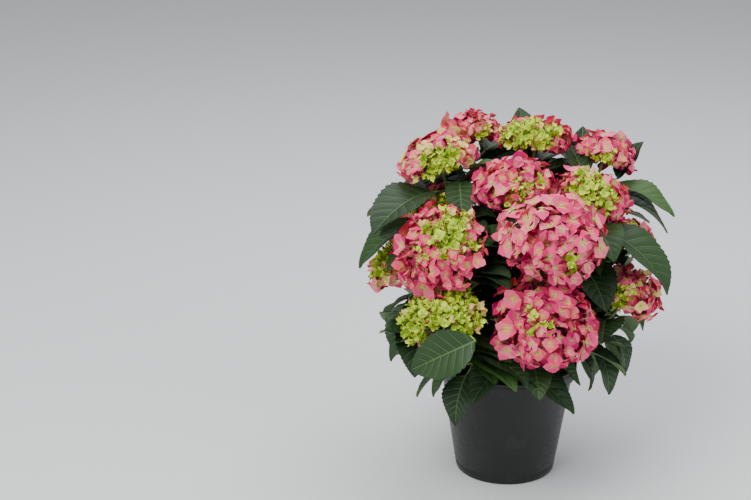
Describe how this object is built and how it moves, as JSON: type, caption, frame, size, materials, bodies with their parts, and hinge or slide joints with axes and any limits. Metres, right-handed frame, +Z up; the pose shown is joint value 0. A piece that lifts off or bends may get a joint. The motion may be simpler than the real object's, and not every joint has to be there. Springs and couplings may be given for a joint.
{
  "type": "potted hydrangea shrub",
  "caption": "Mophead hydrangea in a black nursery pot, with domed pink and lime-green flower heads over dark green leaves on short woody stems",
  "frame": {"origin": "the middle of the pot's flat underside, where the plant stands on the ground", "axes": "+Z points up out of the soil, -Y is the side seen in the picture and +X is to the right there"},
  "size_m": [0.3467, 0.3594, 0.3831],
  "materials": {
    "pot_plastic": "injection-moulded black plastic with a faint satin sheen",
    "potting_soil": "damp crumbly dark brown peat compost",
    "stem_bark": "pale brown woody bark with lenticels",
    "bough_bark": "green young shoot turning woody at its foot",
    "pink_flower_mass": "soft matt petals in pinks and lime greens over glossy dark green leaves",
    "green_flower_mass": "soft matt unripe petals in lime green over glossy dark green leaves"
  },
  "bodies": {
    "root": {"pot": "pot_plastic", "soil": "potting_soil", "stem_1": "stem_bark", "stem_2": "stem_bark", "stem_3": "stem_bark", "stem_4": "stem_bark", "bough_top_middle": "bough_bark", "mass_top_middle": "pink_flower_mass", "bough_top_right": "bough_bark", "mass_top_right": "pink_flower_mass", "bough_front_middle": "bough_bark", "mass_front_middle": "pink_flower_mass", "bough_front_left": "bough_bark", "mass_front_left": "pink_flower_mass", "bough_low_middle": "bough_bark", "mass_low_middle": "pink_flower_mass", "bough_low_left": "bough_bark", "mass_low_left": "green_flower_mass", "bough_low_right": "bough_bark", "mass_low_right": "pink_flower_mass", "bough_right": "bough_bark", "mass_right": "pink_flower_mass", "bough_back_middle": "bough_bark", "mass_back_middle": "pink_flower_mass", "bough_back_right": "bough_bark", "mass_back_right": "pink_flower_mass", "bough_back_left": "bough_bark", "mass_back_left": "pink_flower_mass", "bough_top_left": "bough_bark", "mass_top_left": "pink_flower_mass", "bough_left_bud": "bough_bark", "mass_left_bud": "green_flower_mass", "bough_rear_left": "bough_bark", "mass_rear_left": "pink_flower_mass", "bough_rear_middle": "bough_bark", "mass_rear_middle": "pink_flower_mass", "bough_rear_right": "bough_bark", "mass_rear_right": "pink_flower_mass", "bough_left": "bough_bark", "mass_left": "pink_flower_mass"}
  },
  "joints": []
}
